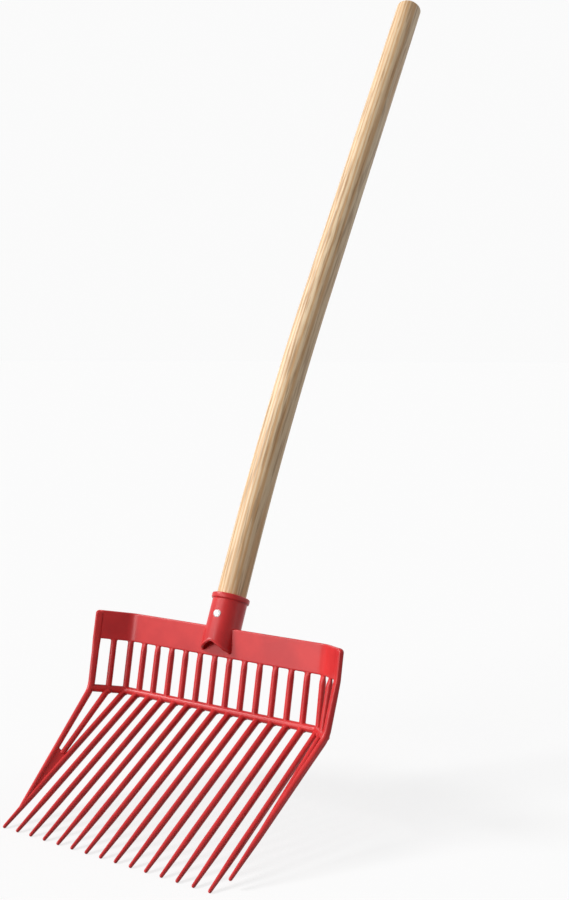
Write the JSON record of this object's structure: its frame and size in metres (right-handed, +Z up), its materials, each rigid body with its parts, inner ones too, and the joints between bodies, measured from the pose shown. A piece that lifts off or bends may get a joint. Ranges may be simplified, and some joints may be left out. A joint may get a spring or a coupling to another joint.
{
  "type": "manure fork",
  "caption": "Manure fork with a moulded plastic basket head, a floor of tines under a slotted back, riveted to a slightly bent wooden handle.",
  "frame": {"origin": "on the floor that the tine tips stand on, under the middle of the fork's overall box", "axes": "+Z up, with the handle leaning back towards +Y; the tines point towards -Y; +X across the head, to the right as seen from the tine side"},
  "size_m": [0.3174, 0.6534, 0.9309],
  "materials": {
    "head": "satin",
    "handle": "satin",
    "rivet": "polished"
  },
  "bodies": {
    "root": {"header_plate": "head", "socket": "head", "heel_bar": "head", "left_wing_plate": "head", "left_heel_bar": "head", "left_wing_bar": "head", "left_rail": "head", "left_wing_tine": "head", "left_edge_tine": "head", "left_gusset": "head", "right_wing_plate": "head", "right_heel_bar": "head", "right_wing_bar": "head", "right_rail": "head", "right_wing_tine": "head", "right_edge_tine": "head", "right_gusset": "head", "bar_1": "head", "bar_2": "head", "bar_3": "head", "bar_4": "head", "bar_5": "head", "bar_6": "head", "bar_7": "head", "bar_8": "head", "bar_9": "head", "bar_10": "head", "bar_11": "head", "bar_12": "head", "bar_13": "head", "bar_14": "head", "tine_1": "head", "tine_2": "head", "tine_3": "head", "tine_4": "head", "tine_5": "head", "tine_6": "head", "tine_7": "head", "tine_8": "head", "tine_9": "head", "tine_10": "head", "tine_11": "head", "tine_12": "head", "tine_13": "head", "tine_14": "head", "tine_15": "head", "handle": "handle", "rivet": "rivet"}
  },
  "joints": []
}
